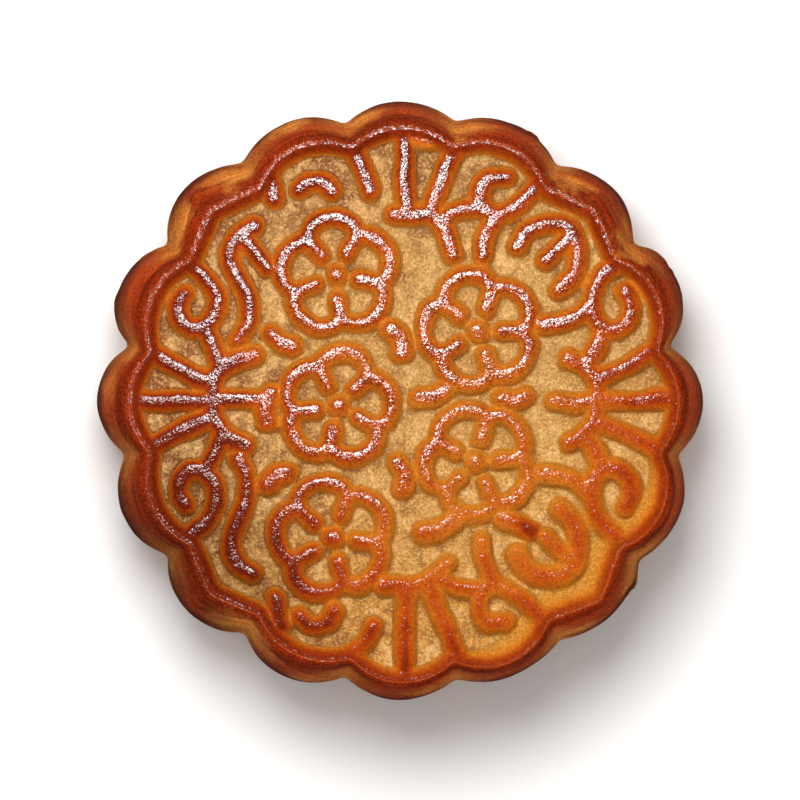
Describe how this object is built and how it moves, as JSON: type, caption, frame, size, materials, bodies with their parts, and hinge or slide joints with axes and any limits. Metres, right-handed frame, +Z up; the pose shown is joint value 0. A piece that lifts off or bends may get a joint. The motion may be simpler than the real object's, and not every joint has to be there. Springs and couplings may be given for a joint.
{
  "type": "mooncake",
  "caption": "Round moulded mooncake, baked and uncut, with a lobed side and a raised rim round a relief of fans, scrolls, claws and blossom.",
  "frame": {"origin": "middle of the flat base", "axes": "+Z up through the middle of the relief; +X and +Y through the lobes that hold the fans on the right and at the top"},
  "size_m": [0.0816, 0.0806, 0.034],
  "materials": {
    "crust": "baked golden-syrup dough: glossy red-brown egg wash on the raised lines and rim, dull pale gold between them"
  },
  "bodies": {
    "root": {"mooncake": "crust"}
  },
  "joints": []
}
